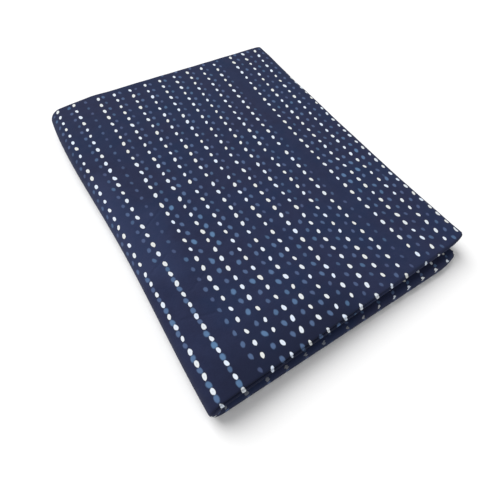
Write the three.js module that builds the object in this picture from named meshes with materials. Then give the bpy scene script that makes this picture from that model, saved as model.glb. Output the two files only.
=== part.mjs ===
// A cut length of printed cotton cambric, folded for storage like a closed book.
// The cloth lies as a strip that runs back and forth along Y in six passes. The strip's outermost pass
// rolls round the near end over all the others. That packet is then folded in half round a spine
// at low X, which gives an upper and a lower bundle with the outer pass on top and underneath.
// The strip stands for the cloth doubled selvedge to selvedge, so it is as thick as two plies in loose contact.
// Units are millimetres. X runs across the fold from the spine, Y along it, Z up. The underside is flat.

import * as THREE from 'three';

// Driving dimensions
const WIDTH = 270;          // from the outside of the spine to the upper bundle's right edge
const LENGTH = 331;         // of the packet, from its near roll to its far turns
const HEIGHT = 24;          // of both bundles together, at the spine and the ends
const GAP = 0.5;            // air between two passes
const MIDDLE_GAP = 0.8;     // air between the upper and the lower bundle
const PASS_COUNT = 6;       // passes in each bundle
const LOWER_SETBACK = 12;   // how far the lower bundle stops short of the upper one's right edge

// The two bundles don't lie square on each other: each value is the Y of a near end
const NEAR_UPPER_SPINE = -9.3;
const NEAR_UPPER_RIGHT = -1.1;
const NEAR_LOWER = -11.7;

// Soft departures from a square block
const SAG = 0.065;          // share of its height that the stack loses in the middle
const SAG_AT_SIDES = 0.35;  // share of that sag which reaches the spine and the right edge
const SPINE_DRAW = 4.3;     // how far the spine draws in at mid-length
const EDGE_DRAW = 1.6;      // how far the right edge draws in there
const SLIP = 7.0;           // how far the spine has slipped sideways at its far end
const SLIP_START = 0.55;    // share of the length at which that slip begins
const FAR_CORNER = 50;      // width of the far left corner that is pulled back and pressed down
const FAR_PULL = 2.5;       // how far it is pulled back at the spine
const FAR_SINK = 0.12;      // share of the height lost there
const EDGE_DROP = 0.05;     // share of the height lost right at the right edge
const EDGE_BAND = 9;        // width of the stretch that drops there
const CORNER_BAND = 22;     // width of the stretch whose near end curves back
const CORNER_PULL = 3.2;    // how far it has curved back at the very corner

// Fineness of the facets
const RUN_STEPS = 6;
const FOLD_STEPS = 4;
const ROLL_STEPS = 8;
const SPINE_STEPS = 8;

const HALF = HEIGHT / 2;
const SHEET = (HALF - MIDDLE_GAP / 2 - (PASS_COUNT - 1) * GAP) / PASS_COUNT;
const LOWER_WIDTH = WIDTH - LOWER_SETBACK;

// The strip's passes in the order in which the cloth runs.
// depth counts from the outside of the packet, and start and end are the Y of a turn's outside or of a free end.
const passes = [
  { depth: 1, start: 13.0, end: 331.0 },
  { depth: 0, start: 331.0, end: 0.0 },
  { depth: 5, start: 0.0, end: 328.8 },
  { depth: 4, start: 328.8, end: 5.4 },
  { depth: 3, start: 5.4, end: 330.2 },
  { depth: 2, start: 330.2, end: 9.0 },
];

// Distance of a pass from the packet's inner face, which ends up at mid-height
function heightOf(pass) {
  return HALF - SHEET / 2 - pass.depth * (SHEET + GAP);
}

// The half circle that joins a pass to the next, as a centre, a radius and the two ways it bulges
function turnBetween(pass, next) {
  const from = heightOf(pass);
  const to = heightOf(next);
  const radius = Math.abs(from - to) / 2;
  const towards = Math.sign(pass.end - pass.start);
  return {
    y: pass.end - towards * (radius + SHEET / 2),
    n: (from + to) / 2,
    radius,
    towards,
    side: Math.sign(from - to),
    steps: radius > SHEET * 2 ? ROLL_STEPS : FOLD_STEPS,
  };
}

// Points of the strip's centreline, each with its unit normal, in the packet's own section (y, n)
function stripCentreline() {
  const line = [];
  passes.forEach((pass, i) => {
    const before = i > 0 ? turnBetween(passes[i - 1], pass) : null;
    const after = i < passes.length - 1 ? turnBetween(pass, passes[i + 1]) : null;
    const first = before ? before.y : pass.start;
    const last = after ? after.y : pass.end;
    const direction = Math.sign(pass.end - pass.start);
    for (let k = before ? 1 : 0; k <= RUN_STEPS - (after ? 1 : 0); k += 1) {
      const y = THREE.MathUtils.lerp(first, last, k / RUN_STEPS);
      line.push({ y, n: heightOf(pass), normal: [0, direction] });
    }
    if (after) {
      for (let k = 0; k <= after.steps; k += 1) {
        const angle = Math.PI * k / after.steps;
        line.push({
          y: after.y + after.radius * after.towards * Math.sin(angle),
          n: after.n + after.radius * after.side * Math.cos(angle),
          normal: [after.side * Math.sin(angle), after.towards * Math.cos(angle)],
        });
      }
    }
  });
  return line;
}

// Closed outline of the strip: up along one face, back along the other
function stripOutline() {
  const line = stripCentreline();
  const face = (sample, side) => new THREE.Vector2(
    sample.y + side * sample.normal[0] * SHEET / 2,
    sample.n + side * sample.normal[1] * SHEET / 2,
  );
  const up = line.map((sample) => face(sample, 1));
  const down = line.map((sample) => face(sample, -1)).reverse();
  const outline = [...up, ...down];
  return THREE.ShapeUtils.isClockWise(outline) ? outline.reverse() : outline;
}

// Where the packet's near end lies at a station, without the curve at its corner
function nearEnd(station) {
  const upper = THREE.MathUtils.lerp(NEAR_UPPER_SPINE, NEAR_UPPER_RIGHT, station.x / WIDTH);
  const share = (1 - Math.cos(station.turn)) / 2;
  return THREE.MathUtils.lerp(upper, NEAR_LOWER, share);
}

// Stations along the way from the upper right edge, round the spine, to the lower right edge
function stations() {
  const upper = [0, 3, 9, 22, 60, 115, 175, 230].map((back) => ({ x: WIDTH - back, turn: 0 }));
  const spine = [];
  for (let k = 0; k <= SPINE_STEPS; k += 1) {
    spine.push({ x: HALF, turn: Math.PI * k / SPINE_STEPS });
  }
  const lower = [218, 163, 103, 48, 22, 9, 0].map((back) => ({ x: LOWER_WIDTH - back, turn: Math.PI }));
  return [...upper, ...spine, ...lower].map((station) => ({
    ...station,
    near: nearEnd(station),
    edge: station.turn < Math.PI ? WIDTH : LOWER_WIDTH,
  }));
}

// Carries a point of the section to its place round the spine, then shapes the whole stack softly
function place(station, y, n) {
  const along = THREE.MathUtils.clamp(y / LENGTH, 0, 1);
  const arch = Math.sin(Math.PI * along);
  const x = station.x - n * Math.sin(station.turn);
  const across = THREE.MathUtils.clamp(x / WIDTH, 0, 1);

  // The near corner curves back and the far left corner is pulled back
  const nearBend = Math.max(0, 1 - (station.edge - station.x) / CORNER_BAND);
  const farBend = Math.max(0, 1 - x / FAR_CORNER);
  const nearPull = CORNER_PULL * nearBend * nearBend * (1 - along);
  const farPull = FAR_PULL * farBend * farBend * along ** 8;
  const lengthwise = y + station.near + nearPull - farPull;

  // The stack sags in the middle and drops at its right edge and its far left corner
  const sides = SAG_AT_SIDES + (1 - SAG_AT_SIDES) * Math.sin(Math.PI * across);
  const edgeDrop = Math.max(0, 1 - (WIDTH - x) / EDGE_BAND);
  const lost = SAG * arch * sides + EDGE_DROP * edgeDrop * edgeDrop + FAR_SINK * farBend * along ** 8;
  const z = (HALF + n * Math.cos(station.turn)) * (1 - lost);

  // Its long sides draw in, and the spine slips sideways towards the far end
  const slipped = Math.max(0, (along - SLIP_START) / (1 - SLIP_START)) ** 2.5;
  const fromSpine = (SPINE_DRAW * arch * arch + SLIP * slipped) * (1 - across) ** 2;
  const fromEdge = EDGE_DRAW * arch * across * across;
  return [x + fromSpine - fromEdge, lengthwise, z];
}

// The strip's outline carried from station to station, closed by its own outline at both right edges
function foldedClothGeometry() {
  const outline = stripOutline();
  const route = stations();
  const count = outline.length;
  const positions = [];
  for (const station of route) {
    for (const point of outline) {
      positions.push(...place(station, point.x, point.y));
    }
  }

  const faces = [];
  for (let i = 0; i < route.length - 1; i += 1) {
    for (let k = 0; k < count; k += 1) {
      const a = i * count + k;
      const b = i * count + (k + 1) % count;
      faces.push(a, a + count, b + count);
      faces.push(a, b + count, b);
    }
  }
  const last = (route.length - 1) * count;
  for (const [a, b, c] of THREE.ShapeUtils.triangulateShape(outline, [])) {
    faces.push(a, b, c);
    faces.push(last + a, last + c, last + b);
  }

  const geometry = new THREE.BufferGeometry();
  geometry.setAttribute('position', new THREE.Float32BufferAttribute(positions, 3));
  geometry.setIndex(faces);
  geometry.computeVertexNormals();
  return geometry;
}

const clothMaterial = new THREE.MeshStandardMaterial({ color: 0x262d50, roughness: 0.9, metalness: 0.0 });

const foldedCloth = new THREE.Mesh(foldedClothGeometry(), clothMaterial);
foldedCloth.name = 'folded_cloth';

// The part's origin is the middle of the underside of its bounding box
foldedCloth.geometry.computeBoundingBox();
const box = foldedCloth.geometry.boundingBox;
foldedCloth.position.set(-(box.min.x + box.max.x) / 2, -(box.min.y + box.max.y) / 2, 0);

const part = new THREE.Group();
part.add(foldedCloth);

export default part;
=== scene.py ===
"""A cut length of printed cotton cambric, folded like a closed book.

One thin cloth, doubled and folded back and forth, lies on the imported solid's folds and takes its place.
"""

import math

import bpy
import numpy as np
from mathutils import Matrix, Vector


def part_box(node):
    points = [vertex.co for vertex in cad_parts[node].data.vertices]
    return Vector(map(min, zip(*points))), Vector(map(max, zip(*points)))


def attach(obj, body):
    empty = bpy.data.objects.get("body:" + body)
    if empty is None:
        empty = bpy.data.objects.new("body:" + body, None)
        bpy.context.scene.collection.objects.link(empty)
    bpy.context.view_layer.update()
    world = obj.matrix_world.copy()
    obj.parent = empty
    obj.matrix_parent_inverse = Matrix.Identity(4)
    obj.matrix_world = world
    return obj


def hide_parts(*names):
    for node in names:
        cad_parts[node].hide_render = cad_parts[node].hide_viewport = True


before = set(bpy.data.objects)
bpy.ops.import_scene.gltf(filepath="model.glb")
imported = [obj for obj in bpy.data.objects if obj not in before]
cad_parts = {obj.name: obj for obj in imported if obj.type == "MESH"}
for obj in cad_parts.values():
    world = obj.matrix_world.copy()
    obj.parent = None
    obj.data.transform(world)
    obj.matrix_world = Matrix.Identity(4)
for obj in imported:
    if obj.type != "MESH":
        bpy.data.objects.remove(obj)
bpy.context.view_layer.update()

MM = 0.001

# Sizes of the folded packet in millimetres, the same as the solid's
WIDTH = 270.0
LENGTH = 331.0
HEIGHT = 24.0
GAP = 0.5
MIDDLE_GAP = 0.8
PASS_COUNT = 6
LOWER_SETBACK = 12.0
NEAR_UPPER_SPINE = -9.3
NEAR_UPPER_RIGHT = -1.1
NEAR_LOWER = -11.7
SAG = 0.065
SAG_AT_SIDES = 0.35
SPINE_DRAW = 4.3
EDGE_DRAW = 1.6
SLIP_START = 0.55
SLIP = 7.0
FAR_CORNER = 50.0
FAR_PULL = 2.5
FAR_SINK = 0.12
EDGE_DROP = 0.05
EDGE_BAND = 9.0
CORNER_BAND = 22.0
CORNER_PULL = 3.2
CORNER_REACH = 2.0      # how far the upper bundle's near right corner reaches out

# The near end's profile, a little squarer than the solid's half round
LIP_POWER = 4.0         # 2 would be a circle
UNDERCUT = 2.6          # how far the foot of the upper bundle's end lies behind its lip
LIP_PUSH = 2.2          # how far the upper lip stands out at the spine, and half as far at the right
GROOVE_DEPTH = 1.7      # of the fine crease along the upper lip
GROOVE_WIDTH = 0.65
GROOVE_ANGLE = 0.8      # radians round the roll from its top
GROOVE_AT_RIGHT = 0.45  # share of the crease's depth that is left at the right
EDGE_CURL = 0.06        # share of the height lost where the upper right edge curls down
CURL_BAND = 3.5
LIP_BAND = 40.0         # how far along the lip's push reaches
LEFT_REACH = 190.0      # what belongs to the left of the near end has faded out here
LEFT_FADE = 60.0        # and fades over this width

# Slight waves of the stack, as shares of its height, and how far hidden layers wander sideways
BROAD_WAVES = 0.010
FINE_WAVES = 0.004
LAYER_WANDER = 0.5

HALF = HEIGHT / 2
SHEET = (HALF - MIDDLE_GAP / 2 - (PASS_COUNT - 1) * GAP) / PASS_COUNT
LOWER_WIDTH = WIDTH - LOWER_SETBACK

# The cloth itself, doubled selvedge to selvedge
PLY_THICKNESS = 0.34
PLY_OFFSET = 0.5        # from the middle of the doubled strip to the middle of either ply
SELVEDGE_SLIP = 1.4     # how far the two selvedges wander past each other

# The strip's passes in the order in which the cloth runs, with the number of steps along each
PASSES = [
    {"depth": 1, "start": 13.0, "end": 331.0, "steps": 18},
    {"depth": 0, "start": 331.0, "end": 0.0, "steps": 96},
    {"depth": 5, "start": 0.0, "end": 328.8, "steps": 18},
    {"depth": 4, "start": 328.8, "end": 5.4, "steps": 18},
    {"depth": 3, "start": 5.4, "end": 330.2, "steps": 18},
    {"depth": 2, "start": 330.2, "end": 9.0, "steps": 18},
]
OUTER_PASS = 1

# Fineness of the cloth's grid: steps over the top, round the spine and over the bottom, for each ply
SHOWN_STEPS = (62, 16, 34)
INNER_STEPS = (26, 12, 20)
CREASE_STEPS = 6
FOLD_STEPS = 8
ROLL_STEPS = 34
EVENING = 1.25          # above 1, the steps lie closer together at the right edge

# How the photo's camera stood, round a point of the packet
CAMERA_AZIMUTH = -42.01
CAMERA_ELEVATION = 56.07
CAMERA_ROLL = 10.43
CAMERA_DISTANCE = 355.7
CAMERA_TARGET = (101.9, 93.9)
CAMERA_LENS = 28.8
CAMERA_SENSOR = 36

# Gentle swellings of the upper face
SWELLS = [
    {"across": 27.0, "along": 150.0, "much": 1.0, "wide": 14.0, "long": 60.0},
    {"across": 30.0, "along": 45.0, "much": -0.6, "wide": 16.0, "long": 30.0},
    {"across": 95.0, "along": 215.0, "much": -0.7, "wide": 32.0, "long": 34.0},
    {"across": 150.0, "along": 95.0, "much": 0.6, "wide": 36.0, "long": 26.0},
    {"across": 205.0, "along": 185.0, "much": 0.7, "wide": 22.0, "long": 46.0},
    {"across": 222.0, "along": 40.0, "much": -0.5, "wide": 26.0, "long": 26.0},
]

# Faint creases pressed into the face: where each starts and ends, across and along
CREASES = [
    ((20.0, 148.0), (45.0, 163.0)),
    ((13.0, 112.0), (30.0, 121.0)),
    ((32.0, 84.0), (47.0, 90.0)),
    ((16.0, 66.0), (40.0, 58.0)),
    ((206.0, 118.0), (219.0, 158.0)),
]
CREASE_WIDTH = 2.2
CREASE_DEPTH = 0.55

# Soft strokes of painted light on the ground: where each starts and ends, how wide it fades, and how much it
# shows
# Painted sheen: a lighter ground along the spine shoulder, where the face tilts towards the lamp
PAINTED_SHEEN_PATCHES = [
    ((8.0, 118.0), (10.0, 212.0), 24.0, 0.36),
    ((26.0, 105.0), (33.0, 160.0), 20.0, 0.28),
]
# Painted shade: a darker ground near the lip, where the face droops away from the lamp
PAINTED_SHADE_PATCHES = [
    ((34.0, -4.0), (112.0, -4.0), 58.0, 0.72),
]

# The print, in millimetres on the face: blocks of nine rows of dots, a plain gap between blocks
ROW_PITCH = 17.5
DOT_PITCH = 10.2
NEAR_PITCH = 7.0        # of the dots where the cloth turns round the near end
ROWS_IN_BLOCK = 9
BLOCK_WIDTH = 164.5
BLOCK_MARGIN = (BLOCK_WIDTH - ROW_PITCH * (ROWS_IN_BLOCK - 1)) / 2
FIRST_WHITE = 53.0      # the middle block's first white row
FIRST_BLUE = 63.0
WHITE_SIZE = (1.5, 2.25)
BLUE_SIZE = (1.85, 2.3)

# The rows don't run straight: they bow to the left, and drift to the right at the far end
ROW_SHIFT = -2.0
ROW_BOW_AT_SPINE = 1.0
ROW_BOW_AT_RIGHT = 7.0
ROW_DRIFT = 6.0

# How the blocks at the left, middle and right were stamped. aside is how far the rows lie to the right, first
# the place of the first dot, lag how much later the dots come from row to row, and seam the number of dots
# after which the block was set down again, with a gap along the rows and a step across them.
WHITE_BLOCKS = [
    {"aside": 0.0, "first": 1.0, "lag": 0.0, "seam": 20.5, "gap": -1.5, "step": 0.0},
    {"aside": 0.0, "first": 2.5, "lag": 0.0, "seam": 16.5, "gap": 3.0, "step": 0.0},
    {"aside": 0.0, "first": 8.0, "lag": -0.8, "seam": 15.5, "gap": -2.0, "step": 0.0},
]
BLUE_BLOCKS = [
    {"aside": 7.0, "first": 6.0, "lag": 0.0, "seam": 10.5, "gap": 2.0, "step": -5.0},
    {"aside": 0.0, "first": 3.5, "lag": -1.0, "seam": 9.5, "gap": 3.5, "step": -4.0},
    {"aside": -2.0, "first": 6.0, "lag": -1.0, "seam": 9.5, "gap": 4.0, "step": 0.0},
]
SEAM_RAMP = 4.0         # length over which a seam's gap and step are made

# Where the blue print came out stronger than elsewhere
BLUE_STRENGTH = 0.5
BLUE_SPOTS = [
    {"across": 66.0, "along": 140.0, "much": 0.75, "wide": 16.0, "long": 42.0},
    {"across": 20.0, "along": 40.0, "much": 0.45, "wide": 30.0, "long": 80.0},
    {"across": 85.0, "along": 40.0, "much": 0.35, "wide": 45.0, "long": 55.0},
    {"across": 240.0, "along": 115.0, "much": 0.45, "wide": 34.0, "long": 45.0},
]

PRINT_WANDER = 2.0      # how far the print strays where the cloth is hidden
BARE_FOOT = 0.8         # share of the white print that is missing low on the near end

THREAD_PITCH = 0.45

# Screen colours of the ground and of the two prints
GROUND = (38, 43, 70)
GROUND_COOL = (33, 45, 75)
GROUND_PALE = (42, 49, 78)
GROUND_SPECK = (16, 20, 36)
# Painted sheen: lighter ground where the face catches the lamp
GROUND_PAINTED_SHEEN = (54, 62, 94)
# Painted shade: darker ground where the face turns away from the lamp
GROUND_PAINTED_SHADE = (20, 24, 42)
BLUE_INK = (98, 105, 146)
TEAL_INK = (87, 120, 156)
WHITE_INK = (215, 217, 214)
COOL_WHITE_INK = (210, 221, 237)
WHITE_RIM = (22, 26, 42)
PINHOLE = (128, 138, 150)

# The studio, in metres: the lamp stands far behind and to the left
FLOOR_REACH = 6.0
FLOOR_PAINT = (0.9, 0.9, 0.9, 1)
SKY_STRENGTH = 0.55
LAMP_PLACE = (-1.8, 5.1, 6.3)
LAMP_SIZE = 7.2
LAMP_POWER = 740


def height_of(this):
    """Distance of a pass from the packet's inner face, which lies at mid-height."""
    return HALF - SHEET / 2 - this["depth"] * (SHEET + GAP)


def turn_between(this, after):
    """The half circle that joins a pass to the next one."""
    high, low = height_of(this), height_of(after)
    radius = abs(high - low) / 2
    towards = math.copysign(1, this["end"] - this["start"])
    return {
        "y": this["end"] - towards * (radius + SHEET / 2),
        "n": (high + low) / 2,
        "radius": radius,
        "towards": towards,
        "side": math.copysign(1, high - low),
        "steps": ROLL_STEPS if radius > 2 * SHEET else FOLD_STEPS,
    }


def centreline():
    """Samples along the middle of the doubled strip, with its unit normal and the pass each is on."""
    rows = []
    for index, this in enumerate(PASSES):
        before = turn_between(PASSES[index - 1], this) if index else None
        after = turn_between(this, PASSES[index + 1]) if index + 1 < len(PASSES) else None
        first = before["y"] if before else this["start"]
        last = after["y"] if after else this["end"]
        direction = math.copysign(1, this["end"] - this["start"])
        for step in range(1 if before else 0, this["steps"] + (0 if after else 1)):
            y = first + (last - first) * step / this["steps"]
            rows.append((y, height_of(this), 0.0, direction, index))
        if after:
            for step in range(after["steps"] + 1):
                angle = math.pi * step / after["steps"]
                sine, cosine = math.sin(angle), math.cos(angle)
                rows.append((
                    after["y"] + after["radius"] * after["towards"] * sine,
                    after["n"] + after["radius"] * after["side"] * cosine,
                    after["side"] * sine,
                    after["towards"] * cosine,
                    index + step / after["steps"],
                ))
    y, n, normal_y, normal_n, on_pass = np.array(rows).T
    run = np.concatenate([[0], np.cumsum(np.hypot(np.diff(y), np.diff(n)))])
    return {"y": y, "n": n, "normal_y": normal_y, "normal_n": normal_n, "pass": on_pass, "run": run}


def waves(across, along, seed, shortest, longest, count=9):
    """A smooth uneven field of about unit size: a sum of seeded ripples in all directions."""
    random = np.random.default_rng(seed)
    total = 0.0
    for _ in range(count):
        length = random.uniform(shortest, longest)
        heading = random.uniform(0, math.pi)
        phase = random.uniform(0, 2 * math.pi)
        total = total + np.sin(
            2 * math.pi * (across * math.cos(heading) + along * math.sin(heading)) / length + phase
        )
    return total / math.sqrt(count / 2)


def soft_spots(spots, across, along):
    """Sum of soft round hills, each as high as its entry says and as wide and long."""
    total = 0.0
    for spot in spots:
        off = ((across - spot["across"]) / spot["wide"]) ** 2 + ((along - spot["along"]) / spot["long"]) ** 2
        total = total + spot["much"] * np.exp(-off)
    return total


def stations(top_steps, spine_steps, lower_steps):
    """Stations of one ply from the crease, round the spine, to the selvedge.

    Each is its x, its turn round the spine and its distance from the crease.
    """
    rows = []
    for step in range(top_steps):
        share = (step / top_steps) ** EVENING
        x = WIDTH - share * (WIDTH - HALF)
        rows.append((x, 0.0, WIDTH - x))
    for step in range(spine_steps + 1):
        turn = math.pi * step / spine_steps
        rows.append((HALF, turn, WIDTH - HALF + HALF * turn))
    for step in range(1, lower_steps + 1):
        share = 1 - (1 - step / lower_steps) ** EVENING
        x = HALF + share * (LOWER_WIDTH - HALF)
        rows.append((x, math.pi, WIDTH - HALF + HALF * math.pi + x - HALF))
    return rows


def cloth_columns():
    """Columns of the cloth's grid from one selvedge over the crease to the other.

    side is +1 on the ply that lies inside the outer pass and -1 on the one that shows. It passes through 0
    at the crease.
    """
    shown = stations(*SHOWN_STEPS)
    inner = stations(*INNER_STEPS)
    columns = [(x, turn, flat, -1.0, 0.0) for x, turn, flat in reversed(shown)]
    for step in range(1, CREASE_STEPS):
        angle = math.pi * step / CREASE_STEPS
        columns.append((WIDTH, 0.0, 0.0, -math.cos(angle), math.sin(angle)))
    columns += [(x, turn, flat, 1.0, 0.0) for x, turn, flat in inner]
    x, turn, flat, side, proud = np.array(columns).T
    return {"x": x, "turn": turn, "flat": flat, "side": side, "proud": proud}


def near_end(x, turn):
    """Where the packet's near end lies, without the curve at its corner."""
    upper = NEAR_UPPER_SPINE + (NEAR_UPPER_RIGHT - NEAR_UPPER_SPINE) * x / WIDTH
    share = (1 - np.cos(turn)) / 2
    return upper + (NEAR_LOWER - upper) * share


def left_share(x):
    """1 at the left of the packet, fading to 0 towards its right."""
    return np.clip((LEFT_REACH - x) / LEFT_FADE, 0, 1)


def shape_near_end(station_x, turn, y, n):
    """Squares the near roll, leans the upper bundle's end back and creases it along the lip."""
    radius = 2.5 * (SHEET + GAP) + SHEET / 2
    middle = HALF - radius
    out = np.maximum(0, radius - y)
    up = n - middle
    reach = np.hypot(out, up) + 1e-9
    cosine, sine = np.maximum(0, up / reach), out / reach
    square = (cosine**LIP_POWER + sine**LIP_POWER + 1e-9) ** (-1 / LIP_POWER)
    rounded = (out > 0) & (up > 0)
    grown = np.where(rounded, 1 + (square - 1) * np.clip(reach / radius, 0, 1) ** 2, 1)
    upper = (1 + np.cos(turn)) / 2
    angle = np.arctan2(out, up)
    crease = np.exp(-(((angle - GROOVE_ANGLE) * radius / GROOVE_WIDTH) ** 2)) * (out > 0)
    fade = GROOVE_AT_RIGHT + (1 - GROOVE_AT_RIGHT) * left_share(station_x)
    outer = np.clip(reach / radius - 0.6, 0, 1) / 0.4
    grown = grown - GROOVE_DEPTH / radius * crease * fade * upper * outer
    foot = np.clip((HALF - n) / HALF, 0, 1) ** 1.5
    leaned = UNDERCUT * upper * foot * np.clip(out / radius, 0, 1)
    pushed = LIP_PUSH * upper * (1 - 0.5 * station_x / WIDTH) * np.clip(1 - y / LIP_BAND, 0, 1) ** 2
    new_y = np.where(out > 0, radius - out * grown, y) + leaned - pushed
    new_n = np.where(rounded, middle + up * grown, n)
    return new_y, new_n


def place(station_x, turn, y, n):
    """Carries points of the strip's section to their places in the folded packet."""
    along = np.clip(y / LENGTH, 0, 1)
    y, n = shape_near_end(station_x, turn, y, n)
    arch = np.sin(math.pi * along)
    edge = np.where(turn < math.pi, WIDTH, LOWER_WIDTH)
    bend = np.maximum(0, 1 - (edge - station_x) / CORNER_BAND)
    x = station_x - n * np.sin(turn)
    far_bend = np.maximum(0, 1 - x / FAR_CORNER)
    lengthwise = y + near_end(station_x, turn) + CORNER_PULL * bend**2 * (1 - along)
    lengthwise = lengthwise - FAR_PULL * far_bend**2 * along**8

    across = np.clip(x / WIDTH, 0, 1)
    slipped = np.maximum(0, (along - SLIP_START) / (1 - SLIP_START)) ** 2.5
    sides = SAG_AT_SIDES + (1 - SAG_AT_SIDES) * np.sin(math.pi * across)
    drop = np.maximum(0, 1 - (WIDTH - x) / EDGE_BAND)
    squeeze = 1 - SAG * arch * sides - EDGE_DROP * drop**2 - FAR_SINK * far_bend * along**8
    squeeze = squeeze - EDGE_CURL * np.clip(1 - (WIDTH - x) / CURL_BAND, 0, 1) ** 2 * (turn < 1)
    squeeze = squeeze + BROAD_WAVES * waves(x, lengthwise, seed=11, shortest=70, longest=190)
    squeeze = squeeze + FINE_WAVES * waves(x, lengthwise, seed=12, shortest=24, longest=60)
    z = (HALF + n * np.cos(turn)) * squeeze
    z = z + soft_spots(SWELLS, x, lengthwise) * (z / HEIGHT) ** 2
    shift = (SPINE_DRAW * arch**2 + SLIP * slipped) * (1 - across) ** 2 - EDGE_DRAW * arch * across**2
    shift = shift + CORNER_REACH * (1 - along) ** 8 * across**8 * (turn < 1)
    return np.stack([x + shift, lengthwise, z], axis=-1)


def cloth_grid():
    """Middle surface of the cloth as a grid of points, with the flat position of each."""
    line = centreline()
    columns = cloth_columns()
    row = {key: value[None, :] for key, value in line.items()}
    col = {key: value[:, None] for key, value in columns.items()}
    layer = (HALF - row["n"]) / (SHEET + GAP)
    y = row["y"] + col["side"] * PLY_OFFSET * row["normal_y"]
    n = row["n"] + col["side"] * PLY_OFFSET * row["normal_n"]
    layer_place = row["y"] / 3 + 90 * layer
    wander = LAYER_WANDER * waves(col["x"] / 3, layer_place, seed=21, shortest=14, longest=60)
    loose = np.clip(np.abs(col["x"] - HALF) / 60, 0, 1)
    lower_edge = np.clip((col["turn"] - 3) * 10, 0, 1) * np.clip(1 - (LOWER_WIDTH - col["x"]) / 60, 0, 1)
    ply_place = col["side"] * 40 + 0 * row["y"]
    slip = SELVEDGE_SLIP * waves(ply_place, row["run"] / 5, seed=22, shortest=30, longest=90) * lower_edge
    inner = np.clip(layer, 0, 1)
    x = col["x"] + col["proud"] * PLY_OFFSET + wander * loose * inner + slip
    turn = col["turn"] + 0 * y
    points = place(x, turn, y, n)
    flat_across = col["flat"] * np.where(col["side"] < 0, -1, 1) + 0 * y
    flat_along = row["run"] + 0 * flat_across
    return points, flat_across, flat_along, line, columns


def places_on_face(points, line, columns):
    """Where each point of the cloth lies on the face: across from the spine, along from the near fold."""
    first_on_face = np.argmax(line["pass"] >= OUTER_PASS)
    along = line["y"][first_on_face] + line["run"][first_on_face] - line["run"]
    along = np.broadcast_to(along[None, :], points.shape[:2])
    shown = columns["side"] < 0
    flat_top = shown & (columns["turn"] == 0)
    spine_start = np.flatnonzero(flat_top)[0]
    across = np.where(flat_top[:, None], points[..., 0], 0)
    beyond = WIDTH - HALF - columns["flat"]
    rounded = shown & ~flat_top
    across = across + np.where(rounded[:, None], points[spine_start, :, 0] + beyond[:, None], 0)
    across = across + np.where(shown, 0, WIDTH + columns["flat"])[:, None]
    return across, along


def stamped(blocks, first_row, across, along):
    """Place across the rows, and number of the dot, at each point of one print."""
    share = np.clip(along / LENGTH, 0, 1)
    rightness = np.clip(across / WIDTH, 0, 1)
    bow = ROW_BOW_AT_SPINE + (ROW_BOW_AT_RIGHT - ROW_BOW_AT_SPINE) * rightness
    stray = ROW_SHIFT - bow * np.sin(math.pi * share) + ROW_DRIFT * share**2
    from_first = across - stray - first_row
    block = np.clip(np.floor((from_first + BLOCK_MARGIN) / BLOCK_WIDTH), -1, 1).astype(int) + 1
    stamp = {key: np.array([entry[key] for entry in blocks])[block] for key in blocks[0]}
    ahead = np.maximum(along, 0) - stamp["first"] - stamp["lag"] * from_first / ROW_PITCH
    past_seam = np.clip((ahead - stamp["seam"] * DOT_PITCH) / SEAM_RAMP + 0.5, 0, 1)
    row_place = from_first - stamp["aside"] - stamp["step"] * past_seam
    number = (ahead - stamp["gap"] * past_seam) / DOT_PITCH + np.minimum(along, 0) / NEAR_PITCH
    return row_place, number


def print_attributes(points, line, columns):
    """For each point of the cloth, its place on the face and among the dots, and each print's strength."""
    across, along = places_on_face(points, line, columns)
    hidden = np.clip(np.maximum(-along, along - LENGTH) / 40, 0, 1)
    wander = PRINT_WANDER * hidden * waves(across, along, seed=31, shortest=150, longest=400)
    white_row, white = stamped(WHITE_BLOCKS, FIRST_WHITE, across + wander, along)
    blue_row, blue = stamped(BLUE_BLOCKS, FIRST_BLUE, across + wander + PRINT_WANDER * hidden, along)
    strength = BLUE_STRENGTH + soft_spots(BLUE_SPOTS, across, along)
    below = np.clip(columns["turn"] - 2, 0, 1)[:, None] * np.clip((4 - along) / 4, 0, 1)
    bare = BARE_FOOT * below * left_share(points[..., 0])
    return {
        "face_place": np.stack([across, along, 0 * along], axis=-1),
        "white_place": np.stack([white_row, white, 1 - bare], axis=-1),
        "blue_place": np.stack([blue_row, blue, strength], axis=-1),
    }


def grid_normals(points):
    """Unit normals of a grid from its neighbours."""
    along_columns = np.gradient(points, axis=0)
    along_rows = np.gradient(points, axis=1)
    normal = np.cross(along_columns, along_rows)
    return normal / np.linalg.norm(normal, axis=-1, keepdims=True)


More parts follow.
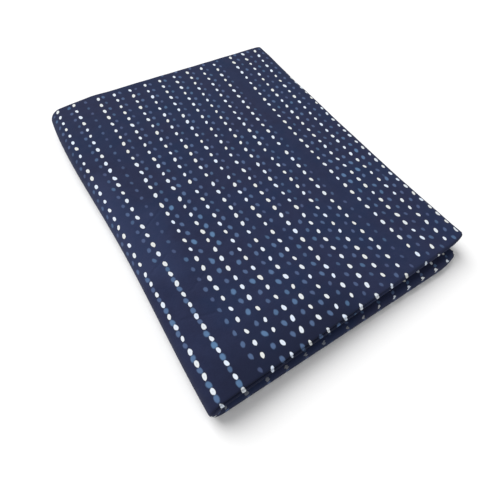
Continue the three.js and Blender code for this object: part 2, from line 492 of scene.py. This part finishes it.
def build_cloth(origin):
    """The cloth as a closed thin mesh: both faces of the grid, joined along its edges."""
    points, across, along, line, columns = cloth_grid()
    normals = grid_normals(points)
    column_count, row_count = points.shape[:2]
    half = PLY_THICKNESS / 2
    both = np.concatenate([
        (points + normals * half).reshape(-1, 3),
        (points - normals * half).reshape(-1, 3),
    ])
    verts = both * MM + np.array(origin)
    count = column_count * row_count
    index = np.arange(count).reshape(column_count, row_count)
    a, b = index[:-1, :-1].ravel(), index[1:, :-1].ravel()
    c, d = index[1:, 1:].ravel(), index[:-1, 1:].ravel()
    front = np.stack([a, b, c, d], axis=1)
    back = np.stack([d, c, b, a], axis=1) + count
    rim = np.concatenate([index[:, 0], index[-1, 1:], index[-2::-1, -1], index[0, -2:0:-1]])
    following = np.roll(rim, -1)
    band = np.stack([following, rim, rim + count, following + count], axis=1)
    faces = np.concatenate([front, back, band])

    mesh = bpy.data.meshes.new("printed_cambric")
    mesh.from_pydata(verts.tolist(), [], faces.tolist())
    mesh.shade_smooth()
    mesh.update()
    attributes = print_attributes(points, line, columns)
    attributes["cloth_place"] = np.stack([across, along, 0 * along], axis=-1)
    for name, values in attributes.items():
        layer = mesh.attributes.new(name, "FLOAT_VECTOR", "POINT")
        layer.data.foreach_set("vector", np.tile(values.reshape(-1, 3), (2, 1)).astype(np.float32).ravel())
    piece = bpy.data.objects.new("printed_cambric", mesh)
    bpy.context.scene.collection.objects.link(piece)
    return piece, line["run"][-1]


class Nodes:
    """Builds a material's nodes from calls that read like sums."""

    def __init__(self, name):
        self.material = bpy.data.materials.new(name)
        self.material.use_nodes = True
        self.tree = self.material.node_tree
        self.shader = self.tree.nodes["Principled BSDF"]

    def put(self, socket, value):
        if isinstance(value, bpy.types.NodeSocket):
            self.tree.links.new(value, socket)
        else:
            socket.default_value = value

    def sum(self, kind, *values):
        node = self.tree.nodes.new("ShaderNodeMath")
        node.operation = kind
        for socket, value in zip(node.inputs, values):
            self.put(socket, value)
        return node.outputs[0]

    def add(self, a, b):
        return self.sum("ADD", a, b)

    def less(self, a, b):
        return self.sum("SUBTRACT", a, b)

    def times(self, a, b):
        return self.sum("MULTIPLY", a, b)

    def over(self, a, b):
        return self.sum("DIVIDE", a, b)

    def length(self, a, b):
        return self.sum("SQRT", self.add(self.times(a, a), self.times(b, b)))

    def step_down(self, value, full, none):
        """1 below full, 0 above none, smooth between them."""
        node = self.tree.nodes.new("ShaderNodeMapRange")
        node.interpolation_type = "SMOOTHSTEP"
        settings = {"Value": value, "From Min": full, "From Max": none, "To Min": 1.0, "To Max": 0.0}
        for name, setting in settings.items():
            self.put(node.inputs[name], setting)
        return node.outputs[0]

    def attribute(self, name):
        node = self.tree.nodes.new("ShaderNodeAttribute")
        node.attribute_name = name
        return node.outputs["Vector"]

    def split(self, vector):
        node = self.tree.nodes.new("ShaderNodeSeparateXYZ")
        self.put(node.inputs[0], vector)
        return node.outputs

    def join(self, x, y, z):
        node = self.tree.nodes.new("ShaderNodeCombineXYZ")
        for socket, value in zip(node.inputs, (x, y, z)):
            self.put(socket, value)
        return node.outputs[0]

    def noise(self, vector, scale, detail=2.0, roughness=0.5):
        node = self.tree.nodes.new("ShaderNodeTexNoise")
        self.put(node.inputs["Vector"], vector)
        node.inputs["Scale"].default_value = scale
        node.inputs["Detail"].default_value = detail
        node.inputs["Roughness"].default_value = roughness
        return node.outputs["Fac"]

    def chance(self, vector):
        """Three random numbers from 0 to 1 for each whole place."""
        node = self.tree.nodes.new("ShaderNodeTexWhiteNoise")
        self.put(node.inputs["Vector"], vector)
        return self.split(node.outputs["Color"])

    def bump(self, height, strength, distance, under=None):
        node = self.tree.nodes.new("ShaderNodeBump")
        node.inputs["Strength"].default_value = strength
        node.inputs["Distance"].default_value = distance
        self.put(node.inputs["Height"], height)
        if under:
            self.put(node.inputs["Normal"], under)
        return node.outputs["Normal"]

    def mix(self, share, a, b):
        node = self.tree.nodes.new("ShaderNodeMix")
        node.data_type = "RGBA"
        for socket, value in zip((node.inputs[0], node.inputs[6], node.inputs[7]), (share, a, b)):
            self.put(socket, value)
        return node.outputs[2]


def colour(levels):
    """A screen colour, each level 0 to 255, as Blender's linear one."""
    def linear(level):
        share = level / 255
        return share / 12.92 if share <= 0.04045 else ((share + 0.055) / 1.055) ** 2.4
    return (*[linear(level) for level in levels], 1.0)


def dot_layer(nodes, place, size, seed, uneven, edge):
    """One layer of printed dots: how much each point is inside a dot, and random numbers of that dot."""
    across, number, strength = nodes.split(place)
    block = nodes.sum("FLOOR", nodes.over(nodes.add(across, BLOCK_MARGIN), BLOCK_WIDTH))
    local = nodes.less(across, nodes.times(block, BLOCK_WIDTH))
    row = nodes.sum("ROUND", nodes.over(local, ROW_PITCH))
    row = nodes.sum("MINIMUM", nodes.sum("MAXIMUM", row, 0.0), ROWS_IN_BLOCK - 1.0)
    dot = nodes.sum("ROUND", number)

    row_count = nodes.add(nodes.times(block, float(ROWS_IN_BLOCK)), row)
    shift_x, shift_y, bulk = nodes.chance(nodes.join(row_count, dot, seed))
    tilt, egg, tone = nodes.chance(nodes.join(row_count, dot, seed + 7.0))
    x = nodes.less(local, nodes.times(row, ROW_PITCH))
    x = nodes.add(x, nodes.times(nodes.less(shift_x, 0.5), uneven))
    y = nodes.times(nodes.less(number, dot), DOT_PITCH)
    y = nodes.add(y, nodes.times(nodes.less(shift_y, 0.5), uneven * 1.3))
    x = nodes.add(x, nodes.times(nodes.times(nodes.less(tilt, 0.5), 0.45), y))
    narrow = nodes.add(1.0, nodes.times(nodes.times(nodes.less(egg, 0.5), 0.16), y))

    reach = nodes.length(nodes.over(x, nodes.times(narrow, size[0])), nodes.over(y, size[1]))
    rough = nodes.noise(place, edge, 2.0, 0.6)
    reach = nodes.add(reach, nodes.times(nodes.less(rough, 0.5), 0.5))
    return {"reach": reach, "bulk": bulk, "tone": tone, "row": row, "strength": strength}


def cambric_material():
    """Indigo cambric: mottled ground with painted sheen and painted shade, soft blue dots and crisp off-white
    dots, over a fine plain weave.
    """
    nodes = Nodes("printed_cambric")
    cloth_place = nodes.attribute("cloth_place")
    face_place = nodes.attribute("face_place")

    mottle = nodes.noise(cloth_place, 0.017, 3.0, 0.55)
    ground = nodes.mix(nodes.step_down(mottle, 0.62, 0.38), colour(GROUND), colour(GROUND_COOL))
    patches = nodes.noise(cloth_place, 0.1, 4.0, 0.65)
    ground = nodes.mix(nodes.times(nodes.step_down(patches, 0.35, 0.65), 0.6), ground, colour(GROUND_PALE))
    speckle = nodes.noise(cloth_place, 0.9, 4.0, 0.7)
    ground = nodes.mix(nodes.times(speckle, 0.34), ground, colour(GROUND_SPECK))
    # Painted sheen along the spine shoulder
    for start, end, width, share in PAINTED_SHEEN_PATCHES:
        painted_sheen = stroke(nodes, face_place, start, end, width)
        ground = nodes.mix(nodes.times(painted_sheen, share), ground, colour(GROUND_PAINTED_SHEEN))
    # Painted shade near the lip
    for start, end, width, share in PAINTED_SHADE_PATCHES:
        painted_shade = stroke(nodes, face_place, start, end, width)
        ground = nodes.mix(nodes.times(painted_shade, share), ground, colour(GROUND_PAINTED_SHADE))

    blue = dot_layer(nodes, nodes.attribute("blue_place"), BLUE_SIZE, seed=3.0, uneven=0.9, edge=0.8)
    last_row = nodes.sum("GREATER_THAN", blue["row"], ROWS_IN_BLOCK - 1.5)
    strong = nodes.times(blue["strength"], nodes.less(1.0, nodes.times(last_row, 0.35)))
    fade = nodes.add(0.55, nodes.times(blue["bulk"], 0.6))
    strong = nodes.sum("MINIMUM", nodes.times(strong, fade), 1.0)
    blue_size = nodes.add(0.62, nodes.times(strong, 0.58))
    blue_reach = nodes.over(blue["reach"], blue_size)
    blue_mask = nodes.step_down(blue_reach, 0.65, 1.25)
    teal = nodes.sum("MAXIMUM", blue["tone"], strong)
    blue_ink = nodes.mix(teal, colour(BLUE_INK), colour(TEAL_INK))
    ink = nodes.mix(nodes.times(blue_mask, nodes.add(0.14, nodes.times(strong, 0.8))), ground, blue_ink)

    white = dot_layer(nodes, nodes.attribute("white_place"), WHITE_SIZE, seed=11.0, uneven=0.7, edge=0.9)
    white_size = nodes.add(0.84, nodes.times(white["bulk"], 0.32))
    white_reach = nodes.over(white["reach"], white_size)
    rim = nodes.times(nodes.step_down(white_reach, 1.05, 1.5), 0.3)
    ink = nodes.mix(rim, ink, colour(WHITE_RIM))
    white_ink = nodes.mix(white["tone"], colour(WHITE_INK), colour(COOL_WHITE_INK))
    pinhole = nodes.times(nodes.step_down(white_reach, 0.1, 0.5), nodes.times(white["bulk"], 0.3))
    white_ink = nodes.mix(pinhole, white_ink, colour(PINHOLE))
    white_mask = nodes.times(nodes.step_down(white_reach, 0.84, 1.12), white["strength"])
    white_mask = nodes.times(white_mask, off_the_edges(nodes, face_place))
    ink = nodes.mix(white_mask, ink, white_ink)

    nodes.put(nodes.shader.inputs["Base Color"], ink)
    nodes.shader.inputs["Roughness"].default_value = 0.9
    nodes.shader.inputs["Specular IOR Level"].default_value = 0.1
    nodes.shader.inputs["Sheen Weight"].default_value = 0.03
    nodes.shader.inputs["Sheen Roughness"].default_value = 0.5
    nodes.put(nodes.shader.inputs["Normal"], weave_normal(nodes, cloth_place, face_place))
    return nodes.material


def off_the_edges(nodes, face_place):
    """0 right on the crease at the right and on the turn at the far end, and 1 elsewhere."""
    across, along, _ = nodes.split(face_place)
    from_crease = nodes.sum("ABSOLUTE", nodes.less(across, WIDTH))
    from_turn = nodes.sum("ABSOLUTE", nodes.less(along, LENGTH + 0.5))
    near_crease = nodes.step_down(from_crease, 1.6, 3.0)
    near_turn = nodes.step_down(from_turn, 2.8, 4.2)
    return nodes.times(nodes.less(1.0, near_crease), nodes.less(1.0, near_turn))


def weave_normal(nodes, cloth_place, face_place):
    """Raised threads of a plain weave, over the slight crinkle of washed cotton."""
    across, along, _ = nodes.split(cloth_place)
    pitch = 2 * math.pi / THREAD_PITCH
    warp = nodes.sum("SINE", nodes.times(across, pitch))
    weft = nodes.sum("SINE", nodes.times(along, pitch))
    threads = nodes.bump(nodes.times(warp, weft), 0.25, 0.04 * MM)
    fine = nodes.noise(cloth_place, 0.7, 2.0, 0.5)
    crinkle = nodes.add(nodes.noise(cloth_place, 0.12, 3.0, 0.6), nodes.times(fine, 0.25))
    for start, end in CREASES:
        crease = stroke(nodes, face_place, start, end, CREASE_WIDTH)
        crinkle = nodes.less(crinkle, nodes.times(crease, CREASE_DEPTH))
    return nodes.bump(crinkle, 0.5, 0.9 * MM, threads)


def stroke(nodes, face_place, start, end, width):
    """A soft stroke between two places of the face: 1 in its middle, 0 once the width away from it."""
    across, along, _ = nodes.split(face_place)
    length = math.dist(start, end)
    lead_x, lead_y = (end[0] - start[0]) / length, (end[1] - start[1]) / length
    x, y = nodes.less(across, start[0]), nodes.less(along, start[1])
    on_line = nodes.add(nodes.times(x, lead_x), nodes.times(y, lead_y))
    off_line = nodes.less(nodes.times(y, lead_x), nodes.times(x, lead_y))
    off_line = nodes.add(off_line, nodes.times(nodes.noise(face_place, 0.15), 3.0))
    beyond = nodes.less(nodes.sum("ABSOLUTE", nodes.less(on_line, length / 2)), length / 2)
    beyond = nodes.sum("MAXIMUM", beyond, 0.0)
    return nodes.step_down(nodes.length(off_line, beyond), 0.0, width)


def camera(origin):
    """The camera at the photo's angle."""
    azimuth, elevation = math.radians(CAMERA_AZIMUTH), math.radians(CAMERA_ELEVATION)
    roll = math.radians(CAMERA_ROLL)
    back = Vector((
        math.sin(azimuth) * math.cos(elevation),
        -math.cos(azimuth) * math.cos(elevation),
        math.sin(elevation),
    ))
    level = Vector((math.cos(azimuth), math.sin(azimuth), 0))
    upright = back.cross(level)
    right = level * math.cos(roll) + upright * math.sin(roll)
    up = upright * math.cos(roll) - level * math.sin(roll)
    target = origin + Vector((*CAMERA_TARGET, 0)) * MM
    data = bpy.data.cameras.new("camera")
    data.lens = CAMERA_LENS
    data.sensor_width = CAMERA_SENSOR
    data.clip_start = 0.01
    camera_object = bpy.data.objects.new("camera", data)
    bpy.context.scene.collection.objects.link(camera_object)
    turned = Matrix((right, up, back)).transposed().to_4x4()
    camera_object.matrix_world = Matrix.Translation(target + back * CAMERA_DISTANCE * MM) @ turned
    bpy.context.scene.camera = camera_object


def studio():
    """A pale floor, an even pale sky and one broad lamp."""
    mesh = bpy.data.meshes.new("floor")
    corners = [(x * FLOOR_REACH, y * FLOOR_REACH, 0) for x, y in ((-1, -1), (1, -1), (1, 1), (-1, 1))]
    mesh.from_pydata(corners, [], [(0, 1, 2, 3)])
    floor = bpy.data.objects.new("floor", mesh)
    bpy.context.scene.collection.objects.link(floor)
    paint = bpy.data.materials.new("floor")
    paint.use_nodes = True
    shader = paint.node_tree.nodes["Principled BSDF"]
    shader.inputs["Base Color"].default_value = FLOOR_PAINT
    shader.inputs["Roughness"].default_value = 0.9
    mesh.materials.append(paint)

    world = bpy.data.worlds.new("studio")
    world.use_nodes = True
    sky = world.node_tree.nodes["Background"]
    sky.inputs["Color"].default_value = (1, 1, 1, 1)
    sky.inputs["Strength"].default_value = SKY_STRENGTH
    bpy.context.scene.world = world

    lamp = bpy.data.lights.new("softbox", "AREA")
    lamp.shape = "DISK"
    lamp.size = LAMP_SIZE
    lamp.energy = LAMP_POWER
    lamp_object = bpy.data.objects.new("softbox", lamp)
    bpy.context.scene.collection.objects.link(lamp_object)
    lamp_place = Vector(LAMP_PLACE)
    turned = lamp_place.to_track_quat("Z", "Y").to_matrix().to_4x4()
    lamp_object.matrix_world = Matrix.Translation(lamp_place) @ turned
    bpy.context.scene.view_settings.view_transform = "Standard"
    return floor


low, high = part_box("folded_cloth")
packet_origin = Vector((low.x, low.y - NEAR_LOWER * MM, low.z))
cloth, cloth_length = build_cloth(packet_origin)
cloth.data.materials.append(cambric_material())

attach(cloth, "root")
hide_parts("folded_cloth")
floor = studio()
camera(packet_origin)
